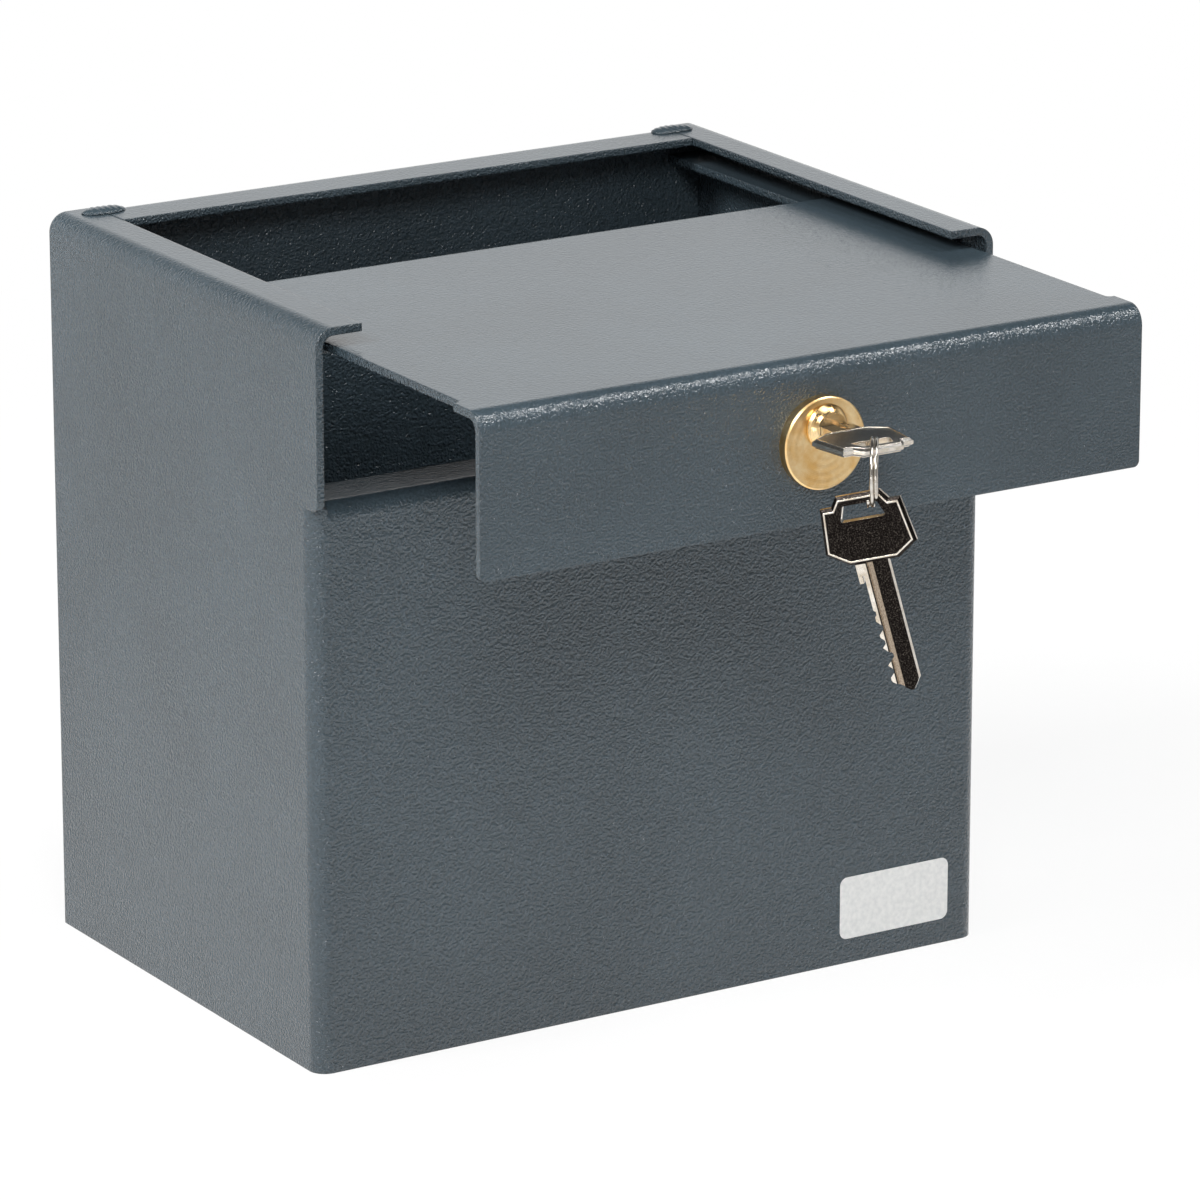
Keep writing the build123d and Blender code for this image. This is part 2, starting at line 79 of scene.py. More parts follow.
# %% A helper for shader nodes
def add(tree, kind, *values, out=0, stops=(), **named):
    node = tree.nodes.new("ShaderNode" + kind)
    inputs = dict(enumerate(values))
    for name, value in named.items():
        if name[0].isupper():
            inputs[name.replace("_", " ")] = value
        elif name[0] == "i" and name[1:].isdigit():
            inputs[int(name[1:])] = value
        else:
            setattr(node, name, value)
    for key, value in inputs.items():
        if isinstance(value, bpy.types.NodeSocket):
            tree.links.new(value, node.inputs[key])
        else:
            node.inputs[key].default_value = value
    for i, (position, colour) in enumerate(stops):
        stop = node.color_ramp.elements[i]
        stop.position, stop.color = position, linear(colour)
    return node.outputs[out] if node.outputs else None


def new_material(name):
    """An empty material and its tree of nodes."""
    material = bpy.data.materials.new(name)
    material.use_nodes = True
    material.node_tree.nodes.clear()
    return material, material.node_tree


# %% [markdown]
# ## Textured powder coat
#
# The sheet steel is sprayed with polyester powder and baked. The powder flows into a glossy skin
# of low pebbles about a millimetre apart, like orange peel. Their slopes catch small bright and
# dark reflections. Real geometry for them would take millions of faces, so the pebbles are a
# bump, and the valleys between them are painted a little darker as painted shade. On a level face
# the melted powder settles flatter, so the bump fades where a face looks up. The skin also wraps
# round a sheared edge, which the Bevel node imitates by rounding normals.

# %% Powder-coated steel
pebble = 0.65 * MM
pebble_height = 0.6 * MM
level_share = 0.12
gloss_grain = 0.3 * MM
cloud_size = 45 * MM
edge_wrap = 0.9 * MM


def powder_coated_steel():
    material, tree = new_material("textured_polyester_powder_coat")
    where = add(tree, "TexCoord", out="Object")
    pebbles = add(tree, "TexNoise", Vector=where, Scale=1 / pebble, Detail=1.0, Roughness=0.4)
    fine = add(tree, "TexNoise", Vector=where, Scale=1 / gloss_grain, Detail=1.0)
    cloud = add(tree, "TexNoise", Vector=where, Scale=1 / cloud_size, Detail=4.0)
    upward = add(tree, "SeparateXYZ", add(tree, "TexCoord", out="Normal"), out="Z")
    level = add(tree, "Math", upward, operation="ABSOLUTE")
    flow = add(tree, "MapRange", level, To_Min=1.0, To_Max=level_share)
    height = add(tree, "Math", pebbles, flow, operation="MULTIPLY")
    wrapped = add(tree, "Bevel", Radius=edge_wrap, samples=6)
    # painted shade: the pebble valleys are coloured darker than the crests
    painted_valley_shade = add(tree, "ValToRGB", pebbles, stops=((0.3, "#3B474D"), (0.7, "#44515A")))
    tint = add(tree, "ValToRGB", cloud, stops=((0.35, "#EAEAEA"), (0.7, "#FFFFFF")))
    tinted = {"data_type": "RGBA", "blend_type": "MULTIPLY", "out": 2}
    shader = add(
        tree,
        "BsdfPrincipled",
        Base_Color=add(tree, "Mix", 1.0, i6=painted_valley_shade, i7=tint, **tinted),
        Roughness=add(tree, "MapRange", fine, To_Min=0.12, To_Max=0.2),
        IOR=1.55,
        Normal=add(tree, "Bump", 1.0, Distance=pebble_height, Height=height, Normal=wrapped),
    )
    add(tree, "OutputMaterial", shader)
    return material


steel = powder_coated_steel()
print("finish:", steel.name, "of", len(steel.node_tree.nodes), "nodes")

# %% [markdown]
# ## Turned brass
#
# A lathe leaves circles round the axis. The distance from the axis is worked out from a
# point's x and z, and a sine of it gives the marks, broken up with noise. Real marks are a
# tenth of a millimetre apart, which is too fine to show here, so they are drawn coarser. Light
# fans out across such circles, so the shine is stretched along them: that is the Anisotropic
# value. The barrel's thread is out of sight in the lid, so it is a sine along the axis too.

# %% Turned brass
broad_pitch = 1.9 * MM
thread_pitch = 1.0 * MM
wobble_size, scratch_grain, tarnish_size = 4 * MM, 0.35 * MM, 6 * MM
mark_depth = 0.016 * MM


def wave(tree, length, wavelength, shift=0.0):
    """A sine that repeats at a wavelength along a length."""
    turns = add(tree, "Math", length, 2 * math.pi / wavelength, operation="MULTIPLY")
    turns = add(tree, "Math", turns, shift, operation="ADD")
    return add(tree, "Math", turns, operation="SINE")


def turned_brass(name, axis_z, mark_pitch, thread_from=None, polish=0.24):
    """Brass with marks round an axis along Y, and a thread where y is more than a value."""
    material, tree = new_material(name)
    where = add(tree, "TexCoord", out="Object")
    x, y, z = add(tree, "SeparateXYZ", where).node.outputs
    up = add(tree, "Math", z, axis_z, operation="SUBTRACT")
    squares = [add(tree, "Math", part, part, operation="MULTIPLY") for part in (x, up)]
    radius = add(tree, "Math", add(tree, "Math", *squares, operation="ADD"), operation="SQRT")
    wobble = add(tree, "TexNoise", Vector=where, Scale=1 / wobble_size, Detail=3.0)
    wobble = add(tree, "Math", wobble, 1.5, operation="MULTIPLY")
    scratch = add(tree, "TexNoise", Vector=where, Scale=1 / scratch_grain, Detail=4.0)
    patterns = [
        (0.35, wave(tree, radius, mark_pitch, wobble)),
        (0.5, scratch),
        (1.1, wave(tree, radius, broad_pitch)),
    ]
    if thread_from is not None:
        behind = add(tree, "Math", y, thread_from, operation="GREATER_THAN")
        thread = add(tree, "Math", wave(tree, y, thread_pitch), behind, operation="MULTIPLY")
        patterns.append((16.0, thread))
    height = 0.0
    for share, pattern in patterns:
        part = add(tree, "Math", pattern, share, operation="MULTIPLY")
        height = add(tree, "Math", height, part, operation="ADD")
    tarnish = add(
        tree, "TexNoise", Vector=where, Scale=1 / tarnish_size, Detail=5.0, Roughness=0.65
    )
    shader = add(
        tree,
        "BsdfPrincipled",
        Base_Color=add(tree, "ValToRGB", tarnish, stops=((0.35, "#E8B973"), (0.7, "#FBE1B0"))),
        Metallic=1.0,
        Roughness=add(tree, "MapRange", scratch, To_Min=polish, To_Max=polish + 0.12),
        Anisotropic=0.6,
        Tangent=add(tree, "Tangent", direction_type="RADIAL", axis="Y"),
        Normal=add(tree, "Bump", 1.0, Distance=mark_depth, Height=height),
    )
    add(tree, "OutputMaterial", shader)
    return material


# %% [markdown]
# A turned piece's axis runs through the middle of its box. The plug's lies 4.3 mm above the
# body's, which leaves room in the body for the pins below the plug. The thread's marks begin
# behind the lid's sheet.

# %% Two brass finishes
head_low, head_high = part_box("lock_body")
head_axis_z = (head_low.z + head_high.z) / 2
plug_low, plug_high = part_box("lock_plug")
plug_axis_z = (plug_low.z + plug_high.z) / 2
lid_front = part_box("lid")[0].y
thread_start = lid_front + 2.5 * MM

head_brass = turned_brass("turned_brass_lock_body", head_axis_z, 0.42 * MM, thread_start)
plug_brass = turned_brass("polished_turned_brass_plug", plug_axis_z, 0.3 * MM, polish=0.14)
print("axis heights:", rounded((head_axis_z, plug_axis_z)), "thread from:", round(thread_start, 4))

# %% [markdown]
# ## Plated steel
#
# The cam, its washer and the nuts are zinc plated, and the springs and the ring are nickel
# plated. Both are bright metals with a slightly cloudy polish: a coarse noise gives the clouds,
# and a fine one the grain that shows in the shine.

# %% Plated metals
cloud_per_grain = 12
plate_relief = 0.01 * MM


def plated(name, dark, light, grain_size, rough_low, rough_high):
    material, tree = new_material(name)
    where = add(tree, "TexCoord", out="Object")
    grain = add(tree, "TexNoise", Vector=where, Scale=1 / grain_size, Detail=4.0)
    cloud_scale = 1 / (cloud_per_grain * grain_size)
    cloud = add(tree, "TexNoise", Vector=where, Scale=cloud_scale, Detail=3.0)
    shader = add(
        tree,
        "BsdfPrincipled",
        Base_Color=add(tree, "ValToRGB", cloud, stops=((0.35, dark), (0.68, light))),
        Metallic=1.0,
        Roughness=add(tree, "MapRange", grain, To_Min=rough_low, To_Max=rough_high),
        Normal=add(tree, "Bump", 0.6, Distance=plate_relief, Height=grain),
    )
    add(tree, "OutputMaterial", shader)
    return material


zinc = plated("zinc_plated_steel", "#A9AAA6", "#D0D0CC", 0.4 * MM, 0.28, 0.42)
spring = plated("nickel_plated_spring_steel", "#B9B2A8", "#E6E1D8", 0.3 * MM, 0.12, 0.24)
print("finishes:", zinc.name, "and", spring.name)

# %% [markdown]
# ## Nickel-plated keys
#
# A key is stamped from brass and plated. Its faces carry a painted reflection, darker than its
# rims, the milled groove is dull and brownish, and the strip beside the cuts is rubbed bright.
# All of these could be painted on by hand, but they follow the key's own planes, so masks on
# distances keep them exact. The planes come from the model: the largest flat faces of a key are
# its two sides, and the largest of its narrow walls is the blade's back, so their normals give
# the directions through the key and across its blade. The points on the groove's floor tell where
# it lies.

# %% Find each key's plane and groove
groove_floor, groove_slack = 0.35 * MM, 0.05 * MM
square_on = 0.05


def blade_of(node):
    """A key's middle plane, and where the groove in its blade begins across and along it."""
    mesh = nodes[node].data
    points = [vertex.co for vertex in mesh.vertices]
    centre = sum(points, Vector()) / len(points)
    normal = max(mesh.polygons, key=lambda face: face.area).normal.copy()
    levels = [point.dot(normal) for point in points]
    middle = normal * ((min(levels) + max(levels)) / 2)
    walls = [face for face in mesh.polygons if abs(face.normal.dot(normal)) < square_on]
    across = max(walls, key=lambda face: face.area).normal.copy()
    depths = [(point - middle).dot(normal) for point in points]
    groove = [p for p, depth in zip(points, depths) if abs(depth - groove_floor) < groove_slack]
    if (sum(groove, Vector()) / len(groove) - centre).dot(across) < 0:
        across.negate()
    along = normal.cross(across)
    tip = max(points, key=lambda point: (point - centre).length)
    if (tip - centre).dot(along) < 0:
        along.negate()
    edge = min(point.dot(across) for point in groove)
    start = min(point.dot(along) for point in groove)
    return middle, normal, across, edge, along, start


blades = {key: blade_of(key) for key in ("key_in_lock", "spare_key")}
for key, blade in blades.items():
    print(key, "normal", rounded(blade[1], 3), "across", rounded(blade[2], 3))

# %% [markdown]
# A face of a key lies 1 mm from its middle plane and the groove's floor 0.35 mm, so two levels
# of that distance tell them apart. The strip beside the cuts begins a little past the groove.
# The faces hold a painted reflection: the key in the lock's are painted lighter, for the bright
# room that its upper face mirrors, and the spare key's are painted dark.

# %% Nickel-plated keys
groove_level, rim_level = 0.42 * MM, 1.05 * MM
groove_to_cuts = 1.85 * MM
least_facing = 0.4
nickel_grain, nickel_cloud = 0.3 * MM, 3 * MM
nickel_relief, nickel_edge = 0.03 * MM, 0.12 * MM


def key_nickel(name, blade, face_reflection_dark, face_reflection_light):
    """Nickel plate with masks measured from a key's middle plane and along its blade."""
    middle, normal, across, groove_edge, along, groove_start = blade
    material, tree = new_material(name)
    where = add(tree, "TexCoord", out="Object")
    facing = add(tree, "TexCoord", out="Normal")
    dot = {"operation": "DOT_PRODUCT", "out": "Value"}

    def all_of(*masks):
        product = 1.0
        for mask in masks:
            product = add(tree, "Math", product, mask, operation="MULTIPLY")
        return product

    offset = add(tree, "VectorMath", where, tuple(middle), operation="SUBTRACT")
    level = add(tree, "VectorMath", offset, tuple(normal), **dot)
    level = add(tree, "Math", level, operation="ABSOLUTE")
    squareness = add(tree, "VectorMath", facing, tuple(normal), **dot)
    squareness = add(tree, "Math", squareness, operation="ABSOLUTE")
    down_blade = add(tree, "VectorMath", where, tuple(along), **dot)
    to_cuts = add(tree, "VectorMath", where, tuple(across), **dot)

    flat = add(tree, "Math", squareness, least_facing, operation="GREATER_THAN")
    in_groove = add(tree, "Math", level, groove_level, operation="LESS_THAN")
    above_groove = add(tree, "Math", level, groove_level, operation="GREATER_THAN")
    below_rim = add(tree, "Math", level, rim_level, operation="LESS_THAN")
    on_blade = add(tree, "Math", down_blade, groove_start, operation="GREATER_THAN")
    cut_line = groove_edge + groove_to_cuts
    cut_side = add(tree, "Math", to_cuts, cut_line, operation="GREATER_THAN")
    sunk = all_of(flat, in_groove)
    # dark marks the key's faces, which take the painted reflection colours
    dark = all_of(flat, above_groove, below_rim)
    rubbed = all_of(on_blade, cut_side)
    dark = add(tree, "Math", dark, rubbed, operation="SUBTRACT", use_clamp=True)

    grain = add(
        tree, "TexNoise", Vector=where, Scale=1 / nickel_grain, Detail=4.0, Roughness=0.7
    )
    cloud = add(tree, "TexNoise", Vector=where, Scale=1 / nickel_cloud, Detail=3.0)
    edge = add(tree, "ValToRGB", cloud, stops=((0.35, "#DDD0BD"), (0.7, "#FAF5EC")))
    groove = add(tree, "ValToRGB", grain, stops=((0.35, "#8F7F6E"), (0.65, "#B7A896")))
    # painted reflection: the face colours stand in for what the faces mirror
    face = add(tree, "ValToRGB", grain, stops=((0.52, face_reflection_dark), (0.8, face_reflection_light)))
    colour = add(tree, "Mix", sunk, i6=edge, i7=groove, data_type="RGBA", out=2)
    wrapped = add(tree, "Bevel", Radius=nickel_edge, samples=4)
    shader = add(
        tree,
        "BsdfPrincipled",
        Base_Color=add(tree, "Mix", dark, i6=colour, i7=face, data_type="RGBA", out=2),
        Metallic=1.0,
        Roughness=add(tree, "MapRange", dark, To_Min=0.16, To_Max=0.34),
        Normal=add(tree, "Bump", 1.0, Distance=nickel_relief, Height=grain, Normal=wrapped),
    )
    add(tree, "OutputMaterial", shader)
    return material


# the face colours are painted reflection: light for the key in the lock, dark for the spare key
lock_key = key_nickel("nickel_plated_key_in_lock", blades["key_in_lock"], "#7F7C77", "#F0ECE4")
loose_key = key_nickel("nickel_plated_spare_key", blades["spare_key"], "#151211", "#7D746B")
print("finishes:", lock_key.name, "and", loose_key.name)

# %% [markdown]
# ## Dress the pieces
#
# Each CAD piece keeps its mesh and takes a material in its first slot.

# %% Give each piece its material
sheets = ("front_and_side_sheet", "rear_wall", "base_plate", "lid")
rails = ("guide_rail_left", "guide_rail_right")
welds = ("rail_tack_welds", "base_tack_welds", "rear_tack_welds", "rear_corner_welds")
finishes = (
    (steel, (*sheets, *rails, *welds)),
    (head_brass, ("lock_body",)),
    (plug_brass, ("lock_plug", "driver_pins", "key_pins", "chamber_plugs")),
    (zinc, ("lock_nut", "lock_cam", "cam_washer", "cam_nut")),
    (spring, ("pin_springs", "key_ring")),
    (lock_key, ("key_in_lock",)),
    (loose_key, ("spare_key",)),
)
materials = {name: material for material, names in finishes for name in names}
for name, piece in nodes.items():
    piece.data.materials.clear()
    piece.data.materials.append(materials[name])
print("dressed:", len(materials), "pieces in", len(finishes), "finishes")

# %% [markdown]
# ## Pieces made again as finer meshes
#
# A new mesh is built from points in `bmesh`, Blender's mesh editor for scripts. The piece then
# rides on a body of the model, takes its material, and may stand for a CAD node, which is then
# hidden. Most new pieces are skinned: closed rings of points, joined one to the next.

# %% Helpers for new pieces
def mesh_object(name, mesh, material):
    bmesh.ops.recalc_face_normals(mesh, faces=mesh.faces)
    data = bpy.data.meshes.new(name)
    mesh.to_mesh(data)
    mesh.free()
    data.materials.append(material)
    made = bpy.data.objects.new(name, data)
    bpy.context.scene.collection.objects.link(made)
    return made


def new_piece(name, mesh, material, body, slot, *stands_for):
    piece = mesh_object(name, mesh, material)
    piece.data.shade_smooth()
    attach(piece, body)
    if stands_for:
        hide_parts(*stands_for)
    return piece


def skin(mesh, layers):
    """Faces between each closed ring of vertices and the next."""
    count = len(layers[0])
    for low, high in zip(layers, layers[1:]):
        for i in range(count):
            j = (i + 1) % count
            mesh.faces.new((low[i], low[j], high[j], high[i]))


def loft(mesh, rings, start, end):
    """Skin closed rings of points and close both ends on a point."""
    layers = [[mesh.verts.new(point) for point in ring] for ring in rings]
    skin(mesh, layers)
    for layer, tip in ((layers[0], start), (layers[-1], end)):
        pole = mesh.verts.new(tip)
        for i in range(len(layer)):
            mesh.faces.new((layer[i], layer[(i + 1) % len(layer)], pole))


# %% [markdown]
# ## Weld beads
#
# A welder lays a bead as a row of overlapping puddles. Each puddle freezes with a round front,
# so the bead swells and sinks along its length and never runs quite straight. A bead could be
# sculpted, but rings that swell by a cosine and a little noise can be laid anywhere again. The
# paint covers the beads, so they keep the powder coat.

# %% One weld bead
puddle_pitch = 1.7 * MM
puddle_share, lump_share = 0.05, 0.10
bead_fullness = 0.87
lumps_per_metre = 180
bead_steps, arc_steps = 36, 10


def weld_bead(mesh, root, along, side, up, length, reach, angle, seed):
    """Lumpy bead round a root line; its section is part of an ellipse, angle wide."""
    root, along, side, up = (Vector(v) for v in (root, along, side, up))
    rings = []
    for i in range(1, bead_steps):
        t = i / bead_steps * 2 - 1
        taper = (1 - abs(t) ** 3) ** 0.5
        ring = [root + along * (t * length / 2)]
        for j in range(arc_steps + 1):
            turn = angle * j / arc_steps
            lag = 0.6 * math.sin(math.pi * j / arc_steps)
            puddle = math.cos(2 * math.pi * (t * length / 2 / puddle_pitch + lag))
            station = t * length * lumps_per_metre + seed
            lump = noise.noise(Vector((station, math.cos(turn) * 0.9, math.sin(turn) * 0.9)))
            swell = taper * (bead_fullness + puddle_share * puddle + lump_share * lump)
            offset = side * (reach[0] * math.cos(turn)) + up * (reach[1] * math.sin(turn))
            ring.append(ring[0] + offset * swell)
        rings.append(ring)
    loft(mesh, rings, root - along * (length / 2), root + along * (length / 2))


# %% [markdown]
# The tack welds fill inner corners, so their section is a quarter of a round. The two beads on
# the rear flange's corners lie on flat metal, so theirs is the upper half of a wide, low one.

# %% Lay the beads
X, Y, Z = Vector((1, 0, 0)), Vector((0, 1, 0)), Vector((0, 0, 1))
quarter, half = math.pi / 2, math.pi
wall_inner, rear_inner, sheet = 98 * MM, 66 * MM, 2 * MM
box_top, box_depth, box_width = 194 * MM, 136 * MM, 200 * MM
rail_underside = 184.6 * MM
tack_length, tack_reach = 14 * MM, (2 * MM, 2 * MM)
corner_x, corner_y = 87 * MM, 62.5 * MM
corner_length, corner_reach = 12.5 * MM, (3.5 * MM, 1.5 * MM)


def tack_weld(mesh, root, along, side, up, seed):
    weld_bead(mesh, root, along, side, up, tack_length, tack_reach, quarter, seed)


def rail_welds(mesh):
    for side in (-1, 1):
        for station in (-0.3, 0.05, 0.4):
            root = (side * wall_inner, station * box_depth, rail_underside)
            tack_weld(mesh, root, Y, -side * X, -Z, 10 * station + side)


def base_welds(mesh):
    for end in (-1, 1):
        for side in (-1, 1):
            beside = (side * wall_inner, end * box_depth / 4, sheet)
            tack_weld(mesh, beside, Y, -side * X, Z, 3 + end + 4 * side)
            across = (end * box_width / 4, side * rear_inner, sheet)
            tack_weld(mesh, across, X, -side * Y, Z, 20 + end + 4 * side)


def rear_welds(mesh):
    for level in (0.15, 0.5, 0.82):
        for side in (-1, 1):
            root = (side * wall_inner, rear_inner, level * box_top)
            tack_weld(mesh, root, Z, -side * X, -Y, 40 + 10 * level + side)


def corner_welds(mesh):
    for side in (-1, 1):
        root = (side * corner_x, corner_y, box_top)
        weld_bead(mesh, root, X, Y, Z, corner_length, corner_reach, half, 60 + side)


beads = {
    "rail_tack_welds": rail_welds,
    "base_tack_welds": base_welds,
    "rear_tack_welds": rear_welds,
    "rear_corner_welds": corner_welds,
}
for node, lay in beads.items():
    mesh = bmesh.new()
    lay(mesh)
    piece = new_piece(node + "_rippled", mesh, steel, "safe_body", "powder_coated_steel", node)
    print(piece.name, len(piece.data.polygons), "faces")

# %% [markdown]
# ## Split ring
#
# A split ring is one round wire wound twice, its turns pressed side by side. A bevelled curve
# could follow it, but skinned rings give its cut ends their shape too. The wire follows a helix
# about the ring's axis, and both cut ends are tumbled round.

# %% The ring
ring_centre = Vector((-3.4, -170.159, 167.752)) * MM
ring_heading, ring_start = math.radians(53.9), math.radians(40)
ring_radius, wire_radius = 8.0 * MM, 0.49 * MM
ring_pitch, ring_turns = 1.02 * MM, 2
ring_steps, wire_sides = 160, 16
end_share = 0.2


def split_ring():
    along = Vector((math.cos(ring_heading), math.sin(ring_heading), 0))
    axis = Vector((math.sin(ring_heading), -math.cos(ring_heading), 0))

    def spine(t):
        turn = ring_start + 2 * math.pi * ring_turns * t
        out = -along * math.cos(turn) - Z * math.sin(turn)
        shift = axis * (ring_pitch * ring_turns * (t - 0.5))
        return ring_centre + out * ring_radius + shift, out

    rings = []
    for i in range(1, ring_steps):
        middle, out = spine(i / ring_steps)
        rounding = min(1.0, (min(i, ring_steps - i) / 2) ** 0.5)
        ring = []
        for j in range(wire_sides):
            turn = 2 * math.pi * j / wire_sides
            offset = (out * math.cos(turn) + axis * math.sin(turn)) * wire_radius
            ring.append(middle + offset * rounding)
        rings.append(ring)
    mesh = bmesh.new()
    tip = end_share / ring_steps
    loft(mesh, rings, spine(tip)[0], spine(1 - tip)[0])
    return new_piece(
        "split_ring_round_wire", mesh, spring, "split_ring", "spring_steel", "key_ring"
    )


ring_piece = split_ring()
print("ring:", rounded(ring_piece.dimensions))

# %% [markdown]
# ## Blank label
#
# A small white vinyl label sits low on the right of the front panel. It is a thin plate with
# rounded corners and a rolled edge, printed with nothing. A patch of colour in the panel's
# paint would do from afar, but the plate catches light on its edge.

# %% White vinyl
vinyl_ripple, vinyl_relief = 1.2 * MM, 0.02 * MM


def white_vinyl():
    material, tree = new_material("white_vinyl_label")
    where = add(tree, "TexCoord", out="Object")
    ripple = add(tree, "TexNoise", Vector=where, Scale=1 / vinyl_ripple, Detail=2.0)
    shader = add(
        tree,
        "BsdfPrincipled",
        Base_Color=add(tree, "ValToRGB", ripple, stops=((0.3, "#E4E5E4"), (0.7, "#F3F3F1"))),
        Roughness=0.38,
        IOR=1.5,
        Normal=add(tree, "Bump", 0.5, Distance=vinyl_relief, Height=ripple),
    )
    add(tree, "OutputMaterial", shader)
    return material


vinyl = white_vinyl()
print("finish:", vinyl.name)

# %% The label
label_width, label_height, label_radius = 34 * MM, 17 * MM, 2.2 * MM
label_thick, rolled_edge = 0.14 * MM, 0.12 * MM
label_x, label_z, front_y = 73.8 * MM, 15.2 * MM, -68 * MM
corner_steps = 8


def rounded_outline(width, height, radius):
    """Points round a rectangle with rounded corners, about its centre."""
    points = []
    for turn, (sx, sz) in enumerate(((1, 1), (-1, 1), (-1, -1), (1, -1))):
        for i in range(corner_steps + 1):
            angle = math.pi / 2 * (turn + i / corner_steps)
            x = sx * (width / 2 - radius) + radius * math.cos(angle)
            z = sz * (height / 2 - radius) + radius * math.sin(angle)
            points.append((x, z))
    return points


def make_label():
    mesh = bmesh.new()
    outline = rounded_outline(label_width, label_height, label_radius)
    layers = []
    for depth, scale in ((0.0, 1.0), (0.7, 1.0), (1.0, 1 - rolled_edge / label_height)):
        y = front_y - label_thick * depth
        ring = [(label_x + x * scale, y, label_z + z * scale) for x, z in outline]
        layers.append([mesh.verts.new(point) for point in ring])
    skin(mesh, layers)
    mesh.faces.new(layers[-1])
    mesh.faces.new(layers[0][::-1])
    label = mesh_object("front_label", mesh, vinyl)
    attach(label, "safe_body")
    return label


label = make_label()
print("label size:", rounded(label.dimensions))

# %% [markdown]
# ## Floor
#
# The floor is white paper. For the camera it glows white, and near the safe a part of plain
# shading stays in it, so it keeps a soft shadow. Paint and metal see it lit unevenly, as paper
# with soft folds, which gives the ripples of the paint something to mirror; close to the safe
# it is even. A Light Path node tells which kind of ray asks, so one floor can be both.

# %% The floor as paint and metal see it
WHITE = (1, 1, 1, 1)
floor_glow, floor_glow_far = 1.0, 0.7
fade_from, fade_to = 0.15, 0.6
rear_from, rear_to = -0.9, -0.3
near_glow, fold_dark, fold_light = 1.3, 0.3, 1.55
fold_size, folds_from, folds_to = 60 * MM, 0.2, 0.45


def floor_mirrored(tree, where, away):
    """How brightly a reflection sees the floor; away is a point's distance from the centre."""
    fade = add(tree, "MapRange", away, fade_from, fade_to, floor_glow, floor_glow_far)
    x, y, _ = add(tree, "SeparateXYZ", where).node.outputs
    rearward = add(tree, "Math", y, x, operation="SUBTRACT")
    rear = add(tree, "MapRange", rearward, rear_from, rear_to, 0.0, floor_glow)
    glow = add(tree, "Math", fade, rear, operation="MAXIMUM")
    folds = add(tree, "TexNoise", Vector=where, Scale=1 / fold_size, Detail=1.0)
    folds = add(tree, "MapRange", folds, 0.4, 0.6, fold_dark, fold_light)
    beyond = add(tree, "MapRange", away, folds_from, folds_to)
    folds = add(tree, "Mix", beyond, i2=near_glow, i3=folds)
    return add(tree, "Math", glow, folds, operation="MULTIPLY")


# %% The floor
floor_size, floor_drop = 12.0, 0.05 * MM
paper_grain = 20 * MM
white_from, white_to = 0.22, 0.7
near_white, mirrored_share = 0.85, 0.9


def floor_material():
    material, tree = new_material("pale_studio_floor")
    where = add(tree, "TexCoord", out="Object")
    away = add(tree, "VectorMath", where, operation="LENGTH", out="Value")
    grain = add(tree, "TexNoise", Vector=where, Scale=1 / paper_grain, Detail=2.0)
    colour = add(tree, "ValToRGB", grain, stops=((0.0, "#F4F4F4"), (1.0, "#FAFAFA")))
    plain = add(tree, "BsdfDiffuse", colour, 0.5)
    white = add(tree, "Emission", WHITE, 1.0)
    folded = add(tree, "Emission", WHITE, floor_mirrored(tree, where, away))
    whiteness = add(tree, "MapRange", away, white_from, white_to, near_white, 1.0)
    to_camera = add(tree, "MixShader", whiteness, plain, white)
    to_paint = add(tree, "MixShader", mirrored_share, plain, folded)
    glossy_ray, camera_ray = (
        add(tree, "LightPath", out=f"Is {ray} Ray") for ray in ("Glossy", "Camera")
    )
    surface = add(tree, "MixShader", glossy_ray, plain, to_paint)
    surface = add(tree, "MixShader", camera_ray, surface, to_camera)
    add(tree, "OutputMaterial", surface)
    return material


bpy.ops.mesh.primitive_plane_add(size=floor_size, location=(0, 0, -floor_drop))
floor = bpy.context.object
floor.name = "studio_floor"
floor.data.materials.append(floor_material())
print("floor:", floor_size, "m wide, top at z =", -floor_drop)

# %% [markdown]
# ## World
#
# The world is white for the camera. A reflection sees it white at eye level and darker overhead
# and in front, as in a room with one lit wall behind. As a lamp it is faint.

# %% World
world_light, ceiling_glow, room_glow = 0.12, 0.06, 0.3
ceiling_from, ceiling_to = 0.34, 0.56
room_from, room_to = -0.45, 0.1

world = bpy.data.worlds.new("studio")
bpy.context.scene.world = world
world.use_nodes = True
sky = world.node_tree
sky.nodes.clear()
camera_ray, glossy_ray, clear_ray = (
    add(sky, "LightPath", out=f"Is {ray} Ray") for ray in ("Camera", "Glossy", "Transmission")
)
_, y, z = add(sky, "SeparateXYZ", add(sky, "TexCoord", out="Generated")).node.outputs
overhead = add(sky, "MapRange", z, ceiling_from, ceiling_to, 1.0, ceiling_glow)
in_front = add(sky, "MapRange", y, room_from, room_to, room_glow, 1.0)
mirrored = add(sky, "Math", overhead, in_front, operation="MULTIPLY")
mirror_ray = add(sky, "Math", glossy_ray, clear_ray, operation="MAXIMUM")
strength = add(sky, "Mix", mirror_ray, i2=world_light, i3=mirrored)
strength = add(sky, "Mix", camera_ray, i2=strength, i3=1.0)
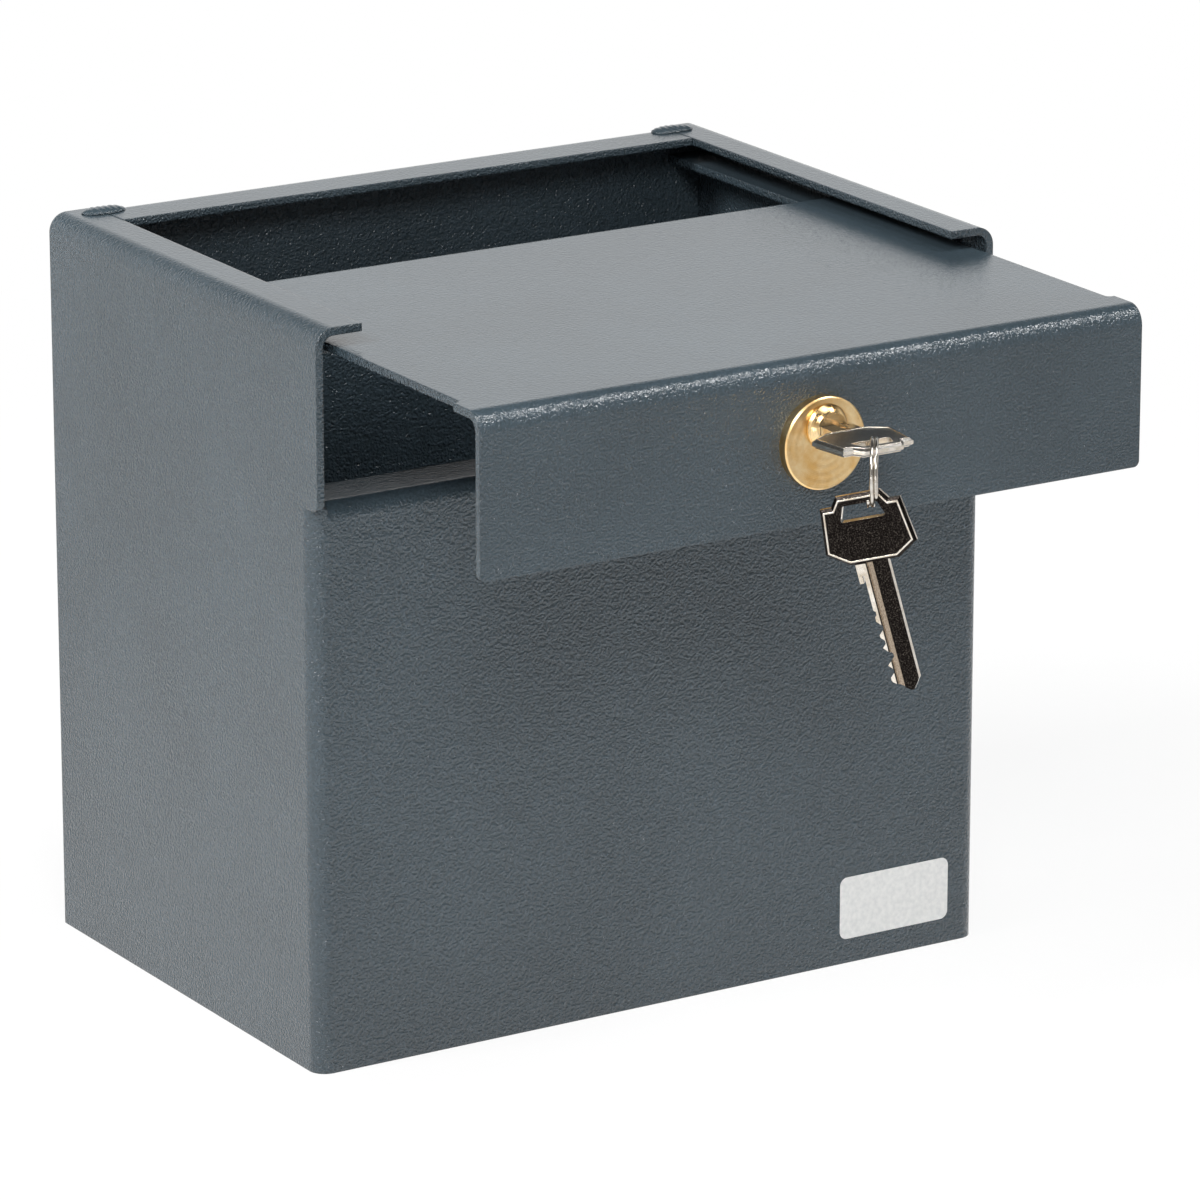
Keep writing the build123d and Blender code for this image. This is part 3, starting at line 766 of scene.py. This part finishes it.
add(sky, "OutputWorld", add(sky, "Background", WHITE, strength))
print("world:", len(sky.nodes), "nodes")

# %% [markdown]
# ## Lamps
#
# Soft square lamps give the light, most of it from the left. The left one grazes the side wall,
# the one above lights the floor, and the front left one shades the front panel under the lid.
# Two small ones make glints: the low one on the upright corner, the last on the lid's bend.

# %% Lamps
aim = Vector((0, -0.02, 0.1))
lamps = (
    ("lamp_left", (-1.1, -0.1, 1.2), 0.5, 17),
    ("lamp_top", (0.2, -0.4, 2.2), 1.0, 13),
    ("lamp_front_left", (-0.75, -1.3, 1.2), 0.5, 12.5),
    ("lamp_front_right", (0.9, -1.5, 1.3), 0.8, 1),
    ("lamp_low_front", (-0.75, -0.5, 0.09), 0.12, 0.5),
    ("lamp_glint", (1.0, -0.6, 1.7), 0.36, 11),
)
for name, place, width, watts in lamps:
    data = bpy.data.lights.new(name, "AREA")
    data.shape = "SQUARE"
    data.size = width
    data.energy = watts
    lamp = bpy.data.objects.new(name, data)
    bpy.context.scene.collection.objects.link(lamp)
    lamp.location = place
    lamp.visible_camera = False
    lamp.rotation_euler = (aim - Vector(place)).to_track_quat("-Z", "Y").to_euler()
print("lamps:", len(lamps), "with", sum(lamp[3] for lamp in lamps), "watts in all")

# %% [markdown]
# ## Camera
#
# A long lens stands to the left of the front, looking slightly down. The frame is square.

# %% Camera
camera_place = (-0.92643, -1.53318, 0.63647)
camera_heading, camera_pitch = math.radians(31.83), math.radians(16.93)
long_lens = 214.6

camera_data = bpy.data.cameras.new("photo_camera")
camera_data.sensor_width = 36.0
camera_data.sensor_fit = "HORIZONTAL"
camera_data.lens = long_lens
camera_data.clip_end = 20.0
camera = bpy.data.objects.new("photo_camera", camera_data)
bpy.context.scene.collection.objects.link(camera)
camera.location = camera_place
camera.rotation_euler = (math.pi / 2 - camera_pitch, 0, -camera_heading)
bpy.context.scene.camera = camera
bpy.context.scene.view_settings.view_transform = "Standard"
print("camera:", round(camera.location.length, 2), "m from the middle of the base")
